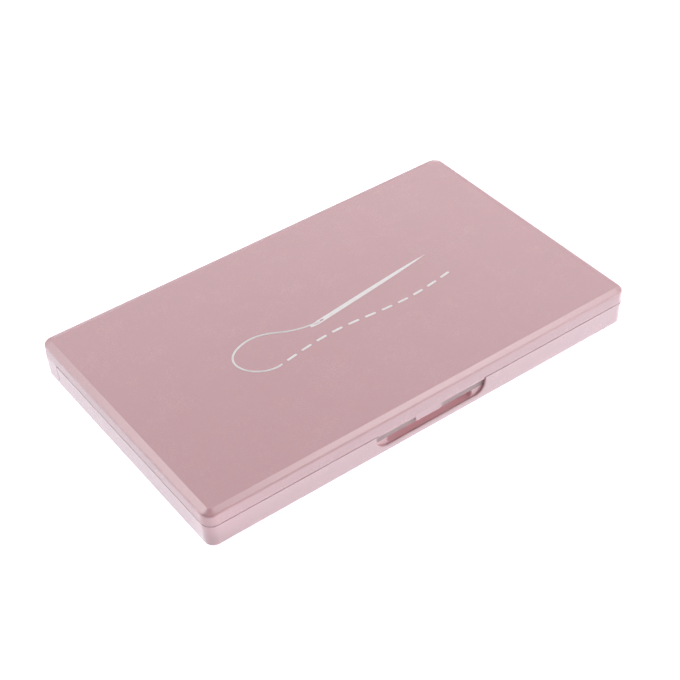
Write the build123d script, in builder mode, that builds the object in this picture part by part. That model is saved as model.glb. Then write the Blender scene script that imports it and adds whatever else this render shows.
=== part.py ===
from build123d import *

import os
from math import cos, radians, sin, sqrt

# A flat hinged needle case: a drafted tray whose back edge is rolled round the hinge axis, a lid that
# turns on stubs moulded on its two ears, and a magnetic sheet glued in the tray.
# Millimetres. +X runs along the hinge, +Y points to the hinge, +Z is up.
# The origin is at the middle of the underside.

# Outside of the closed case
case_length = 115.0
case_width = 69.5
case_height = 9.85
parting_height = 6.4
parting_gap = 0.06
parting_round = 0.15
corner_radius = 2.6
draft_angle = 3.0
base_bottom_round = 1.0

# Sloped shoulder round the lid's flat top
shoulder_width = 1.65
shoulder_drop = 0.6
shoulder_round = 0.6

# Walls
wall = 1.6
lid_top_thickness = 1.4
floor_thickness = 1.7
inner_corner_radius = 1.0
ceiling_round = 0.6

# Rolled back edge and hinge
knuckle_radius = 3.3
knuckle_wall = 1.4
knuckle_setback = 0.15
knuckle_lift = 0.05
knuckle_clearance = 0.15
ear_thickness = 1.6
ear_root = 0.5
ear_side_gap = 0.2
ear_edge_gap = 0.15
web_thickness = 1.2
boss_length = 3.2
stub_diameter = 2.4
stub_length = 1.8
stub_clearance = 0.05
stub_end_room = 0.15
stub_end_round = 0.4
lid_open_angle = 100.0
stop_clearance = 0.05

# Locating rim of the base inside the lid
rim_thickness = 0.7
rim_height = 1.0
rim_clearance = 0.12

# Thumb notch in the front wall, the nail slot at its foot, and the housing that closes the slot inside
notch_width = 30.0
notch_bottom = 2.2
notch_corner_radius = 3.0
notch_edge_round = 0.3
slot_width = 23.6
slot_top = 3.85
slot_depth = 2.7
slot_corner_radius = 0.75
slot_back_round = 0.5
housing_wall = 1.1

# Lid's edge over the notch, its snap tab a little off the middle, and the bead that holds it shut
visor_drop = 0.4
visor_end_gap = 0.35
visor_setback = 0.02
visor_edge_round = 0.2
tab_width = 7.2
tab_offset = -1.0
tab_drop = 1.35
tab_corner_radius = 0.6
bead_radius = 0.28
bead_length = 5.6
bead_height = 0.4
bead_clearance = 0.06

# Magnetic sheet with its adhesive and its cover film
magnet_end_margin = 0.5
magnet_front_margin = 1.95
magnet_back_margin = 2.3
magnet_thickness = 0.8
magnet_corner_radius = 3.0
magnet_pocket_depth = 0.5
magnet_pocket_clearance = 0.25
adhesive_thickness = 0.1
adhesive_margin = 0.5
film_thickness = 0.15

# Worked out from the sizes above
half_length = case_length / 2
half_width = case_width / 2
base_top = parting_height - parting_gap / 2
lid_bottom = parting_height + parting_gap / 2
ceiling = case_height - lid_top_thickness
hinge_y = half_width - knuckle_setback - knuckle_radius
hinge_z = knuckle_radius + knuckle_lift
ear_inner = half_length - ear_thickness
web_outer = ear_inner - ear_side_gap
web_inner = web_outer - web_thickness
boss_inner = web_outer - boss_length
pocket_radius = knuckle_radius + ear_edge_gap
web_front = hinge_y - pocket_radius - web_thickness
cavity_front = -(half_width - wall)
notch_back = cavity_front - rim_thickness
slot_back = -half_width + slot_depth
housing_back = slot_back + housing_wall
housing_top = slot_top + housing_wall
visor_front = half_width - visor_setback
tab_back = notch_back - rim_clearance
tab_bottom = lid_bottom - visor_drop - tab_drop
bead_z = tab_bottom + bead_height
stub_end = ear_inner - stub_length
pocket_floor = floor_thickness - magnet_pocket_depth
magnet_front = housing_back + magnet_front_margin
magnet_back = hinge_y - magnet_back_margin
magnet_middle = (magnet_front + magnet_back) / 2
magnet_width = magnet_back - magnet_front
magnet_length = 2 * (boss_inner - magnet_end_margin)
reach = case_length + case_width
match = 0.01  # how near an edge lies to a plane to count as lying in it

# The heel under the rolled back: its rear face is where the end of the lid's back wall lands when the
# lid is fully open.
stop_distance = lid_bottom - hinge_z - stop_clearance
stop_sin = sin(radians(lid_open_angle))
stop_cos = cos(radians(lid_open_angle))
stop_half_chord = sqrt(knuckle_radius**2 - stop_distance**2)
heel_foot = (hinge_y + (stop_distance + hinge_z * stop_cos) / stop_sin, 0)
heel_top = (
    hinge_y + stop_distance * stop_sin + stop_half_chord * stop_cos,
    hinge_z + stop_distance * stop_cos - stop_half_chord * stop_sin,
)
knuckle_crown = (hinge_y, hinge_z + knuckle_radius)
knuckle_rear = (hinge_y + knuckle_radius, hinge_z)


def drafted_block(height, depth):
    """A block with rounded corners and drafted sides, from the parting line up or down."""
    with BuildPart() as block:
        with BuildSketch(Plane.XY.offset(height)):
            RectangleRounded(case_length, case_width, corner_radius)
        extrude(amount=depth, taper=draft_angle)
    return block.part


def in_plane(axis, place):
    """A test for edges whose middle lies in the plane square to an axis at a place on it."""
    return lambda edge: abs(edge.center().dot(axis.direction) - place) < match


def rim_ring(clearance):
    """The plan of the locating rim, grown by a clearance on its outside and at its ends."""
    outer_inset = 2 * (wall - rim_thickness - clearance)
    with BuildSketch() as ring:
        RectangleRounded(
            case_length - outer_inset,
            case_width - outer_inset,
            inner_corner_radius + rim_thickness,
        )
        RectangleRounded(
            case_length - 2 * wall,
            case_width - 2 * wall,
            inner_corner_radius,
            mode=Mode.SUBTRACT,
        )
        with Locations((0, web_front + clearance)):
            Rectangle(reach, reach, align=(Align.CENTER, Align.MIN), mode=Mode.SUBTRACT)
    return ring.sketch


def magnet_plan(margin):
    """The plan of the magnetic sheet, grown or drawn in by a margin."""
    with BuildSketch() as plan:
        with Locations((0, magnet_middle)):
            RectangleRounded(
                magnet_length + 2 * margin,
                magnet_width + 2 * margin,
                magnet_corner_radius + margin,
            )
    return plan.sketch


# The outsides of the two mouldings above and below the parting line
with BuildPart() as base_block:
    add(drafted_block(base_top, -base_top))
    fillet(base_block.edges().filter_by(in_plane(Axis.Z, 0)), base_bottom_round)

with BuildPart() as lid_block:
    add(drafted_block(lid_bottom, case_height - lid_bottom))
    flat_top = lid_block.faces().sort_by(Axis.Z)[-1]
    chamfer(flat_top.edges(), shoulder_width, shoulder_drop, reference=flat_top)
    # The shoulder's foot is the highest ring of edges below the flat top
    fillet(lid_block.edges().filter_by(Plane.XY).group_by(Axis.Z)[-2], shoulder_round)
    fillet(lid_block.edges().filter_by(in_plane(Axis.Z, lid_bottom)), parting_round)

# The rolled back of the base: an arc round the hinge axis over a heel
with BuildPart() as rolled_back:
    with BuildSketch(Plane.YZ.offset(-web_outer)):
        with BuildLine():
            Polyline(knuckle_crown, (hinge_y, 0), heel_foot, heel_top)
            ThreePointArc(heel_top, knuckle_rear, knuckle_crown)
        make_face()
    extrude(amount=2 * web_outer)

# The nail slot as a solid to cut, round at its ends and where its sides meet its back
with BuildPart() as slot_form:
    with BuildSketch(Plane.XZ.offset(-slot_back)) as slot_face:
        with Locations((0, notch_bottom)):
            Rectangle(slot_width, slot_top - notch_bottom, align=(Align.CENTER, Align.MIN))
        fillet(slot_face.vertices(), slot_corner_radius)
    extrude(amount=slot_depth)
    fillet(slot_form.faces().sort_by(Axis.Y)[-1].edges(), slot_back_round)

# The thumb notch as a solid to cut, with rounded lower corners
with BuildPart() as notch_form:
    with BuildSketch(Plane.XZ.offset(-notch_back)) as notch_face:
        with Locations((0, notch_bottom)):
            Rectangle(notch_width, case_height, align=(Align.CENTER, Align.MIN))
        fillet(notch_face.vertices().group_by(Axis.Y)[0], notch_corner_radius)
    extrude(amount=2 * wall)

# The space that each lid ear turns in: round below the hinge axis, open above it and behind
with BuildPart() as ear_pocket:
    with BuildSketch(Plane.YZ.offset(web_outer)):
        with Locations((hinge_y, hinge_z)):
            Circle(pocket_radius)
        with Locations((hinge_y - pocket_radius, hinge_z)):
            Rectangle(reach, case_height, align=(Align.MIN, Align.MIN))
        with Locations((hinge_y - pocket_radius * sqrt(0.5), hinge_z)):
            Rectangle(reach, case_height, align=(Align.MIN, Align.MAX))
    extrude(amount=case_width)
    mirror(about=Plane.YZ)

with BuildPart() as base_shell:
    add(base_block.part)
    # Behind the hinge axis the block gives way to the rolled back
    with BuildSketch(Plane.YZ.offset(-reach)):
        with Locations((hinge_y, -wall)):
            Rectangle(reach, reach, align=(Align.MIN, Align.MIN))
    extrude(amount=2 * reach, mode=Mode.SUBTRACT)
    add(rolled_back.part)
    # The tray's inside, narrower at the back where the webs close it beside the ears
    with BuildSketch(Plane.XY.offset(base_top)):
        with Locations((0, cavity_front)):
            Rectangle(
                case_length - 2 * wall,
                web_front - cavity_front,
                align=(Align.CENTER, Align.MIN),
            )
            Rectangle(
                2 * web_inner, hinge_y - cavity_front, align=(Align.CENTER, Align.MIN)
            )
    extrude(amount=floor_thickness - base_top, taper=draft_angle, mode=Mode.SUBTRACT)
    # The hollow of the rolled back
    with BuildSketch(Plane.YZ.offset(-boss_inner)):
        with Locations((hinge_y, hinge_z)):
            Circle(knuckle_radius - knuckle_wall)
        with Locations((hinge_y, floor_thickness)):
            Rectangle(reach, reach, align=(Align.CENTER, Align.MAX), mode=Mode.SUBTRACT)
    extrude(amount=2 * boss_inner, mode=Mode.SUBTRACT)
    # Barrels at its two ends, with the sockets for the lid's stubs
    for barrel_start in (boss_inner, -web_outer):
        with BuildSketch(Plane.YZ.offset(barrel_start)):
            with Locations((hinge_y, hinge_z)):
                Circle(knuckle_radius)
        extrude(amount=boss_length)
    add(ear_pocket.part, mode=Mode.SUBTRACT)
    for mouth, inwards in ((web_outer, -1), (-web_outer, 1)):
        with BuildSketch(Plane.YZ.offset(mouth)):
            with Locations((hinge_y, hinge_z)):
                Circle(stub_diameter / 2 + stub_clearance)
        extrude(
            amount=inwards * (stub_length - ear_side_gap + stub_end_room),
            mode=Mode.SUBTRACT,
        )
    # Thumb notch, with its rim on the front wall rounded
    add(notch_form.part, mode=Mode.SUBTRACT)
    notch_rim = [
        edge
        for edge in base_shell.edges()
        if abs(edge.center().X) < notch_width / 2 + match
        and edge.center().Y < (notch_back - half_width) / 2
        and notch_bottom - match < edge.center().Z < base_top - match
    ]
    fillet(notch_rim, notch_edge_round)
    # Locating rim
    with BuildSketch(Plane.XY.offset(base_top)):
        add(rim_ring(0))
    extrude(amount=rim_height)
    # Housing inside the front wall, and the nail slot that it closes
    with BuildSketch(Plane.XY.offset(pocket_floor)):
        with Locations((0, housing_back)):
            Rectangle(
                slot_width + 2 * housing_wall,
                housing_back - notch_back,
                align=(Align.CENTER, Align.MAX),
            )
    extrude(amount=housing_top - pocket_floor)
    add(slot_form.part, mode=Mode.SUBTRACT)
    # Groove that the bead of the lid's snap tab rests in
    with BuildSketch(Plane.YZ.offset(tab_offset - bead_length / 2 - bead_clearance)):
        with Locations((tab_back, bead_z)):
            Circle(bead_radius + bead_clearance)
    extrude(amount=bead_length + 2 * bead_clearance, mode=Mode.SUBTRACT)
    # Shallow pocket that the magnetic sheet lies in
    with BuildSketch(Plane.XY.offset(floor_thickness)):
        add(magnet_plan(magnet_pocket_clearance))
    extrude(amount=-magnet_pocket_depth, mode=Mode.SUBTRACT)

# The plain drafted outside on both sides of the parting line, which the lid's ears keep to
with BuildPart() as ear_envelope:
    add(drafted_block(lid_bottom, -lid_bottom))
    fillet(ear_envelope.edges().filter_by(in_plane(Axis.Z, 0)), base_bottom_round)
    add(drafted_block(lid_bottom, shoulder_round))

# The ears of the lid: tongues with round ends that follow the case's drafted outside
with BuildPart() as lid_ears:
    with BuildSketch(Plane.YZ.offset(ear_inner)):
        with Locations((hinge_y, hinge_z)):
            Circle(knuckle_radius)
        with Locations((hinge_y - knuckle_radius, hinge_z)):
            Rectangle(
                reach,
                lid_bottom + ear_root - hinge_z,
                align=(Align.MIN, Align.MIN),
            )
    extrude(amount=ear_thickness)
    mirror(about=Plane.YZ)
    add(ear_envelope.part, mode=Mode.INTERSECT)

# The hollow of the lid, rounded where its walls meet its ceiling
with BuildPart() as lid_hollow:
    with BuildSketch(Plane.XY.offset(lid_bottom)):
        RectangleRounded(
            case_length - 2 * wall, case_width - 2 * wall, inner_corner_radius
        )
    extrude(amount=ceiling - lid_bottom, taper=draft_angle)
    fillet(lid_hollow.edges().filter_by(in_plane(Axis.Z, ceiling)), ceiling_round)

with BuildPart() as lid_shell:
    add(lid_block.part)
    add(lid_hollow.part, mode=Mode.SUBTRACT)
    with BuildSketch(Plane.XY.offset(lid_bottom)):
        add(rim_ring(rim_clearance))
    extrude(amount=rim_height, mode=Mode.SUBTRACT)
    add(lid_ears.part)
    # Room for the base's rolled back to turn in
    with BuildSketch(Plane.YZ.offset(-ear_inner)):
        with Locations((hinge_y, hinge_z)):
            Circle(knuckle_radius + knuckle_clearance)
    extrude(amount=2 * ear_inner, mode=Mode.SUBTRACT)
    # Stubs that the lid turns on
    for root, inwards in ((ear_inner, -1), (-ear_inner, 1)):
        with BuildSketch(Plane.YZ.offset(root)):
            with Locations((hinge_y, hinge_z)):
                Circle(stub_diameter / 2)
        extrude(amount=inwards * stub_length)
        stub_rim = lid_shell.edges().filter_by(in_plane(Axis.X, -inwards * stub_end))
        fillet(stub_rim.filter_by(GeomType.CIRCLE), stub_end_round)
    # Front edge over the notch, and the snap tab
    with BuildSketch(Plane.XZ.offset(visor_front)) as visor:
        with Locations((0, lid_bottom - visor_drop)):
            Rectangle(
                notch_width - 2 * visor_end_gap,
                visor_drop + parting_round,
                align=(Align.CENTER, Align.MIN),
            )
        with Locations((tab_offset, tab_bottom)):
            Rectangle(
                tab_width,
                lid_bottom + parting_round - tab_bottom,
                align=(Align.CENTER, Align.MIN),
            )
        fillet(visor.vertices().group_by(Axis.Y)[0], tab_corner_radius)
    extrude(amount=-(tab_back + visor_front))
    visor_rim = lid_shell.edges().filter_by(in_plane(Axis.Y, -visor_front))
    fillet([edge for edge in visor_rim if edge.center().Z < lid_bottom], visor_edge_round)
    # The tab's bead
    with BuildSketch(Plane.YZ.offset(tab_offset - bead_length / 2)):
        with Locations((tab_back, bead_z)):
            Circle(bead_radius)
    extrude(amount=bead_length)

with BuildPart() as magnet_adhesive:
    with BuildSketch(Plane.XY.offset(pocket_floor)):
        add(magnet_plan(-adhesive_margin))
    extrude(amount=adhesive_thickness)

magnet_bottom = pocket_floor + adhesive_thickness
with BuildPart() as magnet_sheet:
    with BuildSketch(Plane.XY.offset(magnet_bottom)):
        add(magnet_plan(0))
    extrude(amount=magnet_thickness)

with BuildPart() as magnet_cover_film:
    with BuildSketch(Plane.XY.offset(magnet_bottom + magnet_thickness)):
        add(magnet_plan(0))
    extrude(amount=film_thickness)

base_shell.part.label = "base_shell"
lid_shell.part.label = "lid_shell"
magnet_adhesive.part.label = "magnet_adhesive"
magnet_sheet.part.label = "magnet_sheet"
magnet_cover_film.part.label = "magnet_cover_film"

os.makedirs("parts", exist_ok=True)
export_step(base_shell.part, "parts/base_shell.step")
export_step(lid_shell.part, "parts/lid_shell.step")
export_step(magnet_adhesive.part, "parts/magnet_adhesive.step")
export_step(magnet_sheet.part, "parts/magnet_sheet.step")
export_step(magnet_cover_film.part, "parts/magnet_cover_film.step")
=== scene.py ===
from math import cos, pi, radians, sin

import bpy
from mathutils import Matrix, Vector


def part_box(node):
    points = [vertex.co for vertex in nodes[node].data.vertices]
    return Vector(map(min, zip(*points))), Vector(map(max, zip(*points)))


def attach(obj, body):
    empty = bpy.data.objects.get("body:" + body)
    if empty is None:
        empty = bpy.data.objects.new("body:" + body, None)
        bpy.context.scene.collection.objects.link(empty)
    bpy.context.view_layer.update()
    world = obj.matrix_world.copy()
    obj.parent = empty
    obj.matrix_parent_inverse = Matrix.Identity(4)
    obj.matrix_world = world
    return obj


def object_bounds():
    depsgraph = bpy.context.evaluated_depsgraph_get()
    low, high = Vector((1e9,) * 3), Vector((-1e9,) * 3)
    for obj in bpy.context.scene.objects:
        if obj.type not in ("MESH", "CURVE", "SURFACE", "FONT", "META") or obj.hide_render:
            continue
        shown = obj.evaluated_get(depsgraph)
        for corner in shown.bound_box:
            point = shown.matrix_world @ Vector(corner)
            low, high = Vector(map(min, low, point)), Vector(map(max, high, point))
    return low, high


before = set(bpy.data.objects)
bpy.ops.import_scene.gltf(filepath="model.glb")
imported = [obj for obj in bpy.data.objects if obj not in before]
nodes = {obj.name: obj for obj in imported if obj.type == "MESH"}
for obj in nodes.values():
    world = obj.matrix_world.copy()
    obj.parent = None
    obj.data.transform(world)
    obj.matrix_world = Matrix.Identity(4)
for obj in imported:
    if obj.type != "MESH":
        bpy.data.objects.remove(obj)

cad_low, cad_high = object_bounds()

MM = 0.001

# The thumb notch, which has a matt grip texture and painted shade and bounce light. Its depths are
# taken from the case's front.
NOTCH_HALF_LENGTH = 15.0 * MM
NOTCH_RECESS = 0.9 * MM
NOTCH_DEPTH = 2.85 * MM
NOTCH_TOP = 6.3 * MM
SLOT_TOP = 3.85 * MM

# The print on the lid: a threaded needle over a running stitch, in ink a few hundredths thick
PRINT_MIDDLE = Vector((0.5 * MM, -1.0 * MM))
INK_RAISED = 0.012 * MM
INK_SUNK = 0.01 * MM
SECOND_COAT = 0.006 * MM
NEEDLE_LENGTH = 37.0 * MM
NEEDLE_HALF_WIDTH = 0.62 * MM
NEEDLE_TURN = radians(7)
NEEDLE_MIDDLE = Vector((10.5 * MM, 3.0 * MM))
EYE_LENGTH = 2.9 * MM
EYE_HALF_WIDTH = 0.26 * MM
EYE_SETBACK = 1.2 * MM
THREAD_WIDTH = 0.5 * MM
STITCH_LENGTH = 2.9 * MM
STITCH_GAP = 1.5 * MM
STITCH_WIDTH = 0.62 * MM

# From the needle's point to its middle: shares of its half length and of its half width
NEEDLE_TAPER = [(1.0, 0.0), (0.8, 0.42), (0.5, 0.74), (0.0, 0.9)]

# The thread's bends between the needle's eye and the first stitch, from the print's middle
THREAD_BENDS = [
    Vector((-11.5 * MM, 1.4 * MM)),
    Vector((-16.0 * MM, 5.2 * MM)),
    Vector((-22.0 * MM, 6.4 * MM)),
    Vector((-28.5 * MM, 3.6 * MM)),
    Vector((-28.5 * MM, -2.8 * MM)),
    Vector((-23.0 * MM, -6.2 * MM)),
]
SEAM_START = Vector((-17.0 * MM, -5.0 * MM))
SEAM_END = Vector((27.5 * MM, -3.6 * MM))
SEAM_WAVE = 0.9 * MM

SOFTBOX_COLOUR = (1.0, 0.99, 1.0)

# Each softbox's place, its width and height in metres, and its power in watts
SOFTBOXES = {
    "overhead_softbox": ((0.55, 0.03, 1.05), (0.6, 0.5), 5.9),
    "back_left_softbox": ((-0.25, 0.65, 0.88), (0.6, 0.36), 3.1),
    "front_right_strip": ((0.57, -0.76, 0.33), (0.3, 0.6), 1.6),
}


# Shader and geometry expressions

class Value:
    """A node's output socket. Arithmetic on it adds Math nodes."""

    def __init__(self, graph, socket):
        self.graph = graph
        self.socket = socket

    def math(self, operation, *others):
        values = {0: self} | dict(enumerate(others, 1))
        return self.graph.node("ShaderNodeMath", {"operation": operation}, values)

    def __add__(self, other):
        return self.math("ADD", other)

    def __sub__(self, other):
        return self.math("SUBTRACT", other)

    def __rsub__(self, other):
        return self.graph.node("ShaderNodeMath", {"operation": "SUBTRACT"}, {0: other, 1: self})

    def __mul__(self, other):
        return self.math("MULTIPLY", other)

    __radd__ = __add__
    __rmul__ = __mul__

    def size(self):
        """The value without its sign."""
        return self.math("ABSOLUTE")

    def ramp(self, low, high, to_low=0.0, to_high=1.0):
        """The value carried smoothly from one range to another and held at its ends."""
        settings = {"interpolation_type": "SMOOTHSTEP"}
        values = {"Value": self, "From Min": low, "From Max": high, "To Min": to_low, "To Max": to_high}
        return self.graph.node("ShaderNodeMapRange", settings, values)

    def rises(self, start, run):
        """A mask that goes from 0 to 1 over a run."""
        return self.ramp(start, start + run)

    def falls(self, start, run):
        """A mask that goes from 1 to 0 over a run."""
        return self.ramp(start, start + run, 1.0, 0.0)

    def around(self, middle, spread):
        """A noise, which varies about 0.5, carried to one that varies about another middle."""
        return middle + (self - 0.5) * spread


class Graph:
    """A node tree with one method that makes any node."""

    def __init__(self, tree):
        self.tree = tree

    def node(self, kind, settings=None, values=None, output=0):
        made = self.tree.nodes.new(kind)
        for name, value in (settings or {}).items():
            setattr(made, name, value)
        for key, value in (values or {}).items():
            socket = made.inputs[key]
            for part in value if isinstance(value, list) else [value]:
                if isinstance(part, Value):
                    self.tree.links.new(part.socket, socket)
                else:
                    socket.default_value = part
        return Value(self, made.outputs[output]) if made.outputs else None

    def place(self):
        """A surface point's place in the case's frame, in metres."""
        return self.node("ShaderNodeTexCoord", None, None, "Object")

    def parts(self, vector):
        """A vector's X, Y and Z."""
        split = self.node("ShaderNodeSeparateXYZ", None, {"Vector": vector}).socket.node
        return [Value(self, socket) for socket in split.outputs]

    def towards(self, vector, direction):
        """How far a vector goes in a direction."""
        values = {0: vector, 1: direction}
        return self.node("ShaderNodeVectorMath", {"operation": "DOT_PRODUCT"}, values, "Value")

    def mix(self, share, first, second):
        """A colour between two colours. The node has its sockets once for each kind of data."""
        share_socket, first_socket, second_socket, colour_output = 0, 6, 7, 2
        values = {share_socket: share, first_socket: first, second_socket: second}
        return self.node("ShaderNodeMix", {"data_type": "RGBA"}, values, colour_output)

    def noise(self, place, scale, detail=2.0, roughness=0.5):
        values = {"Vector": place, "Scale": scale, "Detail": detail, "Roughness": roughness}
        return self.node("ShaderNodeTexNoise", None, values)

    def bump(self, height, strength, distance):
        values = {"Strength": strength, "Distance": distance, "Height": height}
        return self.node("ShaderNodeBump", None, values)

    def ray(self, kind):
        """1 on rays of one kind and 0 on the others."""
        return self.node("ShaderNodeLightPath", None, None, kind)


def new_material(name):
    material = bpy.data.materials.new(name)
    material.use_nodes = True
    material.node_tree.nodes.clear()
    return material, Graph(material.node_tree)


def finish_material(material, graph, values):
    """The material with one Principled shader, which gets the values."""
    shader = graph.node("ShaderNodeBsdfPrincipled", None, values)
    graph.node("ShaderNodeOutputMaterial", None, {"Surface": shader})
    return material


# Finishes

def case_plastic():
    """Glossy dusty-pink moulding with a fine grain, faint smears and a little depth. The thumb
    notch has a matt grip texture. Its wall is painted a greyer pink as shade under the lid's
    edge, and its slot a lighter, stronger pink as painted bounce light."""
    material, graph = new_material("dusty_pink_plastic")
    place = graph.place()
    along, depth, height = graph.parts(place)

    notch_face = cad_low.y + NOTCH_RECESS
    notch_back = cad_low.y + NOTCH_DEPTH
    blur = 0.2 * MM
    clear = 0.1 * MM
    # The notch: a matt grip texture in the roughness, and painted shade and bounce light in the colour.
    grip_and_painted_light = (
        along.size().falls(NOTCH_HALF_LENGTH, blur)
        * depth.rises(notch_face - clear - blur, blur)
        * depth.falls(notch_back, blur)
        * height.falls(NOTCH_TOP, blur)
    )
    # The notch's wall above the slot, which is painted greyer as shade under the lid's edge.
    painted_shade_wall = depth.falls(notch_face + clear, blur) * height.rises(SLOT_TOP - blur, blur + clear)

    flow = graph.noise(place, scale=28.0)
    grain = graph.noise(place, scale=5200.0, roughness=0.6)
    smears = graph.noise(place, scale=120.0, detail=4.0, roughness=0.6)
    pink = (0.597, 0.356, 0.380, 1.0)
    pale_pink = (0.604, 0.363, 0.387, 1.0)
    # Painted shade: the notch wall's pink, darkened and greyed as if shaded by the lid's edge.
    painted_shade_pink = (0.40, 0.29, 0.29, 1.0)
    # Painted bounce light: the slot's pink, made lighter and more saturated as if lit by pink light
    # bouncing inside it.
    painted_bounce_pink = (0.91, 0.64, 0.67, 1.0)
    smooth = graph.mix(flow.ramp(0.35, 0.65), pink, pale_pink)
    gloss, matt = 0.27, 0.35
    values = {
        # The notch's colour is painted shade on its wall and painted bounce light in its slot.
        "Base Color": graph.mix(grip_and_painted_light, smooth, graph.mix(painted_shade_wall, painted_bounce_pink, painted_shade_pink)),
        "Roughness": smears.around(gloss, 0.012) + grain.around(0.0, 0.03) + grip_and_painted_light * matt,
        "IOR": 1.58,
        "Subsurface Weight": 0.3,
        "Subsurface Radius": (1.0, 0.5, 0.45),
        "Subsurface Scale": 1.5 * MM,
        "Normal": graph.bump(grain, strength=0.07, distance=0.01 * MM),
    }
    return finish_material(material, graph, values)


def white_ink():
    """Pad-printed white ink, thin enough for a little of the pink to show through."""
    material, graph = new_material("white_ink")
    cover = graph.noise(graph.place(), scale=900.0, detail=3.0, roughness=0.6)
    thin_ink = (0.86, 0.80, 0.80, 1.0)
    full_ink = (0.90, 0.865, 0.87, 1.0)
    values = {
        "Base Color": graph.mix(cover.ramp(0.3, 0.7), thin_ink, full_ink),
        "Roughness": cover.around(0.34, 0.1),
        "Normal": graph.bump(cover, strength=0.2, distance=0.005 * MM),
    }
    return finish_material(material, graph, values)


def cover_film():
    """White vinyl film with a soft sheen and a slight unevenness from the rubber below it."""
    material, graph = new_material("white_vinyl_film")
    place = graph.place()
    swell = graph.noise(place, scale=220.0)
    grain = graph.noise(place, scale=3000.0)
    grey_white = (0.78, 0.77, 0.76, 1.0)
    white = (0.82, 0.81, 0.81, 1.0)
    swell_share = 4.0
    values = {
        "Base Color": graph.mix(swell.ramp(0.3, 0.7), grey_white, white),
        "Roughness": grain.around(0.32, 0.1),
        "Normal": graph.bump(swell * swell_share + grain, strength=0.3, distance=0.01 * MM),
    }
    return finish_material(material, graph, values)


def ferrite_rubber():
    """Dark magnetic rubber with fine ferrite grains."""
    material, graph = new_material("ferrite_rubber")
    grains = graph.noise(graph.place(), scale=4200.0, detail=3.0, roughness=0.7)
    black = (0.022, 0.020, 0.020, 1.0)
    brown_black = (0.06, 0.052, 0.05, 1.0)
    values = {
        "Base Color": graph.mix(grains.ramp(0.4, 0.7), black, brown_black),
        "Roughness": grains.around(0.7, 0.2),
        "Normal": graph.bump(grains, strength=0.4, distance=0.03 * MM),
    }
    return finish_material(material, graph, values)


def acrylic_adhesive():
    """Milky adhesive layer with small trapped bubbles."""
    material, graph = new_material("acrylic_adhesive")
    bubbles = graph.node("ShaderNodeTexVoronoi", None, {"Vector": graph.place(), "Scale": 900.0})
    bubble = (0.55, 0.52, 0.46, 1.0)
    milky = (0.7, 0.67, 0.6, 1.0)
    values = {
        "Base Color": graph.mix(bubbles.ramp(0.1, 0.5), bubble, milky),
        "Roughness": 0.45 + bubbles * 0.2,
    }
    return finish_material(material, graph, values)


def studio_white():
    """The floor: a glass table that looks plain white. Glossy surfaces mirror it, brighter towards
    the front right and dimmer beside the case's right end. It lights matt surfaces faintly, with
    a stronger fill from the front left."""
    material, graph = new_material("studio_white")
    place = graph.place()
    along, depth, _ = graph.parts(place)
    drift = graph.noise(place, scale=2.0, detail=1.0)

    shine_left, shine_right, end_dimming = 2.2, 4.0, 0.55
    front_right = graph.towards(place, (0.7, -0.7, 0.0))
    right_of_case = along.rises(cad_high.x - 6 * MM, 6 * MM)
    behind_front = depth.rises(cad_low.y, 6 * MM)
    mirrored = front_right.ramp(-26 * MM, -4 * MM, shine_left, shine_right)
    mirrored = mirrored * (1 - right_of_case * behind_front * end_dimming)

    faint_fill, corner_fill = 0.27, 1.7
    left_of_case = along.falls(cad_low.x - 8 * MM, 8 * MM)
    before_case = depth.falls(cad_low.y - 8 * MM, 8 * MM)
    fill = faint_fill + left_of_case * before_case * corner_fill

    plain_white = 1.05
    seen = graph.ray("Is Camera Ray")
    lighting = graph.ray("Is Diffuse Ray")
    values = {
        "Base Color": graph.mix(drift, (0.34, 0.34, 0.35, 1.0), (0.36, 0.36, 0.37, 1.0)),
        "Roughness": 0.9,
        "Emission Color": (0.95, 0.94, 1.0, 1.0),
        "Emission Strength": mirrored * (1 - lighting - seen) + lighting * fill + seen * plain_white,
    }
    material.cycles.emission_sampling = "NONE"
    return finish_material(material, graph, values)


# The print on the lid

def path_object(name, points, kind="POLY", closed=False):
    """A curve through points of the print's plane, at the height of the case's underside."""
    curve = bpy.data.curves.new(name, "CURVE")
    curve.dimensions = "3D"
    add_spline(curve, points, kind, closed)
    made = bpy.data.objects.new(name, curve)
    bpy.context.collection.objects.link(made)
    return made


def add_spline(curve, points, kind="POLY", closed=False):
    spline = curve.splines.new(kind)
    spline.points.add(len(points) - 1)
    for spot, point in zip(spline.points, points):
        spot.co = (*(PRINT_MIDDLE + point), 0.0, 1.0)
    spline.use_cyclic_u = closed
    if kind == "NURBS":
        spline.order_u = 4
        spline.use_endpoint_u = True
        spline.resolution_u = 16


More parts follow.
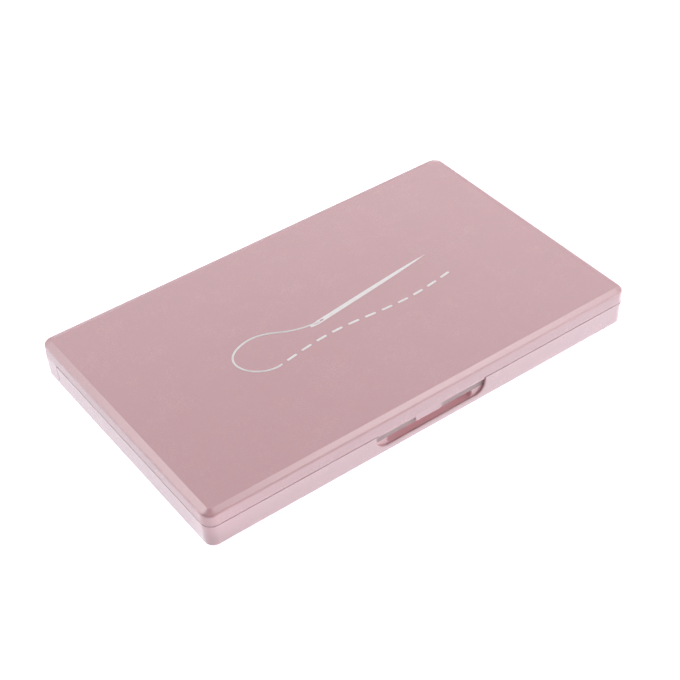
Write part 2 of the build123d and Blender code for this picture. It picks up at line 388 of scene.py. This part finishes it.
class GeometryTree(Graph):
    """A geometry node tree with named inputs, and one method that turns it into a plain mesh."""

    def __init__(self, name, sizes):
        super().__init__(bpy.data.node_groups.new(name, "GeometryNodeTree"))
        interface = self.tree.interface
        interface.new_socket("Geometry", in_out="INPUT", socket_type="NodeSocketGeometry")
        for size in [*sizes, "Thickness", "Height"]:
            interface.new_socket(size, in_out="INPUT", socket_type="NodeSocketFloat")
        interface.new_socket("Material", in_out="INPUT", socket_type="NodeSocketMaterial")
        interface.new_socket("Geometry", in_out="OUTPUT", socket_type="NodeSocketGeometry")
        self.given = self.tree.nodes.new("NodeGroupInput")

    def input(self, name):
        return Value(self, self.given.outputs[name])

    def slab(self, outline):
        """A closed plate between a filled outline and its copy above it."""
        flat = self.node("GeometryNodeFillCurve", {"mode": "NGONS"}, {"Curve": outline})
        values = {"Mesh": flat, "Offset Scale": self.input("Thickness"), "Individual": False}
        raised = self.node("GeometryNodeExtrudeMesh", {"mode": "FACES"}, values)
        under = self.node("GeometryNodeFlipFaces", None, {"Mesh": flat})
        both = self.node("GeometryNodeJoinGeometry", None, {"Geometry": [raised, under]})
        weld = 0.0005 * MM
        return self.node("GeometryNodeMergeByDistance", None, {"Geometry": both, "Distance": weld})

    def finish(self, geometry):
        """The geometry lifted to its height, as one mesh of the material."""
        lift = self.node("ShaderNodeCombineXYZ", None, {"Z": self.input("Height")})
        values = {"Geometry": geometry, "Translation": lift}
        lifted = self.node("GeometryNodeTransform", None, values)
        whole = self.node("GeometryNodeRealizeInstances", None, {"Geometry": lifted})
        values = {"Geometry": whole, "Material": self.input("Material")}
        dressed = self.node("GeometryNodeSetMaterial", None, values)
        self.node("NodeGroupOutput", None, {"Geometry": dressed})

    def make(self, source, name, values):
        """The tree run on a source object, as a plain mesh object. The source is removed."""
        modifier = source.modifiers.new("tree", "NODES")
        modifier.node_group = self.tree
        for item in self.tree.interface.items_tree:
            if item.in_out == "INPUT" and item.name in values:
                modifier[item.identifier] = values[item.name]
        bpy.context.view_layer.update()
        evaluated = source.evaluated_get(bpy.context.evaluated_depsgraph_get())
        mesh = bpy.data.meshes.new_from_object(evaluated)
        source.modifiers.remove(modifier)
        bpy.data.objects.remove(source)
        mesh.materials.clear()
        mesh.materials.append(values["Material"])
        made = bpy.data.objects.new(name, mesh)
        bpy.context.collection.objects.link(made)
        return made


def needle_tree():
    """A plate inside an outline, with the holes that lie in it."""
    tree = GeometryTree("printed_outline", [])
    tree.finish(tree.slab(tree.input("Geometry")))
    return tree


def thread_tree():
    """A flat ribbon with square edges along a path."""
    tree = GeometryTree("printed_thread", ["Width"])
    path = tree.input("Geometry")
    upright = tree.node("GeometryNodeSetCurveNormal", {"mode": "Z_UP"}, {"Curve": path})
    values = {"Width": tree.input("Width"), "Height": tree.input("Thickness")}
    section = tree.node("GeometryNodeCurvePrimitiveQuadrilateral", None, values)
    lift = tree.node("ShaderNodeCombineXYZ", None, {"Z": tree.input("Thickness") * 0.5})
    middle = tree.node("GeometryNodeSetPosition", None, {"Geometry": upright, "Offset": lift})
    values = {"Curve": middle, "Profile Curve": section, "Fill Caps": True}
    tree.finish(tree.node("GeometryNodeCurveToMesh", None, values))
    return tree


def stitch_tree():
    """Round-ended dashes at even steps along a path, each turned along it."""
    tree = GeometryTree("printed_stitches", ["Stitch length", "Gap", "Width"])
    step = tree.input("Stitch length") + tree.input("Gap")
    values = {"Curve": tree.input("Geometry"), "Length": step}
    steps = tree.node("GeometryNodeResampleCurve", {"mode": "LENGTH"}, values)
    values = {"Width": tree.input("Stitch length"), "Height": tree.input("Width")}
    bar = tree.node("GeometryNodeCurvePrimitiveQuadrilateral", None, values)
    just_under_half = 0.49
    values = {"Curve": bar, "Count": 5, "Radius": tree.input("Width") * just_under_half}
    dash = tree.slab(tree.node("GeometryNodeFilletCurve", {"mode": "POLY"}, values))
    along = tree.node("GeometryNodeInputTangent")
    turn = tree.node("FunctionNodeAlignRotationToVector", {"axis": "X"}, {"Vector": along})
    values = {"Points": steps, "Instance": dash, "Rotation": turn}
    tree.finish(tree.node("GeometryNodeInstanceOnPoints", None, values))
    return tree


def needle_point(along, across):
    """A place on the needle, from its middle along and across it."""
    lengthwise = Vector((cos(NEEDLE_TURN), sin(NEEDLE_TURN)))
    sideways = Vector((-sin(NEEDLE_TURN), cos(NEEDLE_TURN)))
    return NEEDLE_MIDDLE + lengthwise * along + sideways * across


def needle_outline():
    """A long point, a straight shank and half an ellipse at the eye's end."""
    half = NEEDLE_LENGTH / 2
    round_steps = 12
    upper = [(half * reach, NEEDLE_HALF_WIDTH * width) for reach, width in NEEDLE_TAPER]
    for step in range(1, round_steps):
        angle = pi / 2 * step / round_steps
        upper.append((-half + EYE_LENGTH * (1 - sin(angle)), NEEDLE_HALF_WIDTH * cos(angle)))
    lower = [(along, -across) for along, across in reversed(upper[1:])]
    return [needle_point(along, across) for along, across in [*upper, (-half, 0.0), *lower]]


def eye_outline():
    steps = 20
    middle = -NEEDLE_LENGTH / 2 + EYE_SETBACK + EYE_LENGTH / 2
    angles = [2 * pi * step / steps for step in range(steps)]
    return [
        needle_point(middle + EYE_LENGTH / 2 * cos(angle), EYE_HALF_WIDTH * sin(angle))
        for angle in angles
    ]


def seam_path():
    """The gentle wave that the stitches follow."""
    steps = 40
    run = SEAM_END - SEAM_START
    return [
        SEAM_START + run * (step / steps) + Vector((0.0, SEAM_WAVE * sin(2 * pi * step / steps)))
        for step in range(steps + 1)
    ]


def put_on_lid(piece):
    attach(piece, "lid")


def add_print():
    lid_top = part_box("lid_shell")[1][2]
    sizes = {
        "Thickness": INK_SUNK + INK_RAISED,
        "Height": lid_top - INK_SUNK,
        "Material": white_ink(),
    }
    needle = path_object("needle_outline", needle_outline(), closed=True)
    add_spline(needle.data, eye_outline(), closed=True)
    put_on_lid(needle_tree().make(needle, "print_needle", sizes))

    seam_points = seam_path()
    backwards = (seam_points[0] - seam_points[1]).normalized()
    share_through_eye = 0.6
    eye_end = needle_point(-NEEDLE_LENGTH / 2 + EYE_SETBACK + EYE_LENGTH * share_through_eye, 0.0)
    thread_end = SEAM_START + backwards * (STITCH_LENGTH / 2 + STITCH_GAP)
    thread = path_object("thread_path", [eye_end, *THREAD_BENDS, thread_end], "NURBS")
    thread_sizes = {"Width": THREAD_WIDTH, "Thickness": sizes["Thickness"] + SECOND_COAT}
    put_on_lid(thread_tree().make(thread, "print_thread", sizes | thread_sizes))

    seam = path_object("seam_path", seam_points)
    dashes = {"Stitch length": STITCH_LENGTH, "Gap": STITCH_GAP, "Width": STITCH_WIDTH}
    put_on_lid(stitch_tree().make(seam, "print_stitches", sizes | dashes))


# Studio

def add_floor():
    reach = 3.0
    mesh = bpy.data.meshes.new("studio_floor")
    corners = [(-reach, -reach, 0), (reach, -reach, 0), (reach, reach, 0), (-reach, reach, 0)]
    mesh.from_pydata(corners, [], [(0, 1, 2, 3)])
    floor = bpy.data.objects.new("studio_floor", mesh)
    bpy.context.collection.objects.link(floor)
    floor.data.materials.append(studio_white())


def add_softbox(name, place, size, power):
    """A rectangular lamp that faces the case. The camera doesn't see it."""
    light = bpy.data.lights.new(name, "AREA")
    light.shape = "RECTANGLE"
    light.size, light.size_y = size
    light.energy = power
    light.color = SOFTBOX_COLOUR
    lamp = bpy.data.objects.new(name, light)
    lamp.location = place
    lamp.visible_camera = False
    lamp.rotation_mode = "QUATERNION"
    lamp.rotation_quaternion = (-Vector(place)).to_track_quat("-Z", "Y")
    bpy.context.collection.objects.link(lamp)


def add_surroundings():
    """A dim room that looks plain white. Glossy surfaces mirror its glows: one at the front right,
    one at the back left, and a sweep behind the case, brightest halfway up. It lights matt
    surfaces faintly."""
    world = bpy.data.worlds.new("white_room")
    bpy.context.scene.world = world
    world.use_nodes = True
    world.node_tree.nodes.clear()
    graph = Graph(world.node_tree)
    direction = graph.node("ShaderNodeTexCoord", None, None, "Generated")
    along, depth, height = graph.parts(direction)

    front_right = graph.towards(direction, (0.85, -0.53, 0.0)).ramp(0.45, 0.85)
    back_left = along.ramp(-0.4, -0.1, 1.0, 0.0) * depth.ramp(0.3, 0.5)
    dim, low_haze, front_glow, left_glow = 0.35, 0.4, 4.0, 5.2
    haze = height.ramp(0.1, 0.4, low_haze, 0.0)
    room = dim + haze + front_right * front_glow + back_left * left_glow

    low_sweep, gain, loss = 0.6, 2.3, 1.6
    sweep = low_sweep + height.ramp(0.25, 0.5) * gain - height.ramp(0.54, 0.68) * loss
    behind = graph.towards(direction, (0.57, 0.82, 0.0)).ramp(0.25, 0.6)
    light = room * (1 - behind) + sweep * behind

    held_back, held_back_behind = 0.8, 0.12
    seen = graph.ray("Is Camera Ray")
    lighting = graph.ray("Is Diffuse Ray")
    strength = light * (1 - seen - lighting * (held_back + behind * held_back_behind)) + seen
    values = {"Color": (0.98, 0.98, 1.0, 1.0), "Strength": strength}
    sky = graph.node("ShaderNodeBackground", None, values)
    graph.node("ShaderNodeOutputWorld", None, {"Surface": sky})
    world.cycles.sampling_method = "NONE"


def add_camera():
    """The photograph's viewpoint: front left, 41 degrees up, turned a little."""
    camera = bpy.data.cameras.new("photo_camera")
    camera.sensor_width = 36.0
    camera.lens = 81.82
    camera.clip_start = 0.01
    right = Vector((0.8035082, -0.5942429, -0.035356))
    up = Vector((0.4119264, 0.5121465, 0.7536728))
    back = Vector((-0.4297572, -0.6201463, 0.6562982))
    place = Vector((-152.653, -221.302, 235.605)) * MM
    axes = Matrix((right, up, back)).transposed().to_4x4()
    viewer = bpy.data.objects.new("photo_camera", camera)
    viewer.matrix_world = Matrix.Translation(place) @ axes
    bpy.context.collection.objects.link(viewer)
    bpy.context.scene.camera = viewer


def dress(node, material):
    mesh = nodes[node].data
    mesh.materials.clear()
    mesh.materials.append(material)


pink_plastic = case_plastic()
dress("base_shell", pink_plastic)
dress("lid_shell", pink_plastic)
dress("magnet_cover_film", cover_film())
dress("magnet_sheet", ferrite_rubber())
dress("magnet_adhesive", acrylic_adhesive())
add_print()

add_floor()
add_surroundings()
for softbox, (place, size, power) in SOFTBOXES.items():
    add_softbox(softbox, place, size, power)
add_camera()
bpy.context.scene.view_settings.view_transform = "Standard"
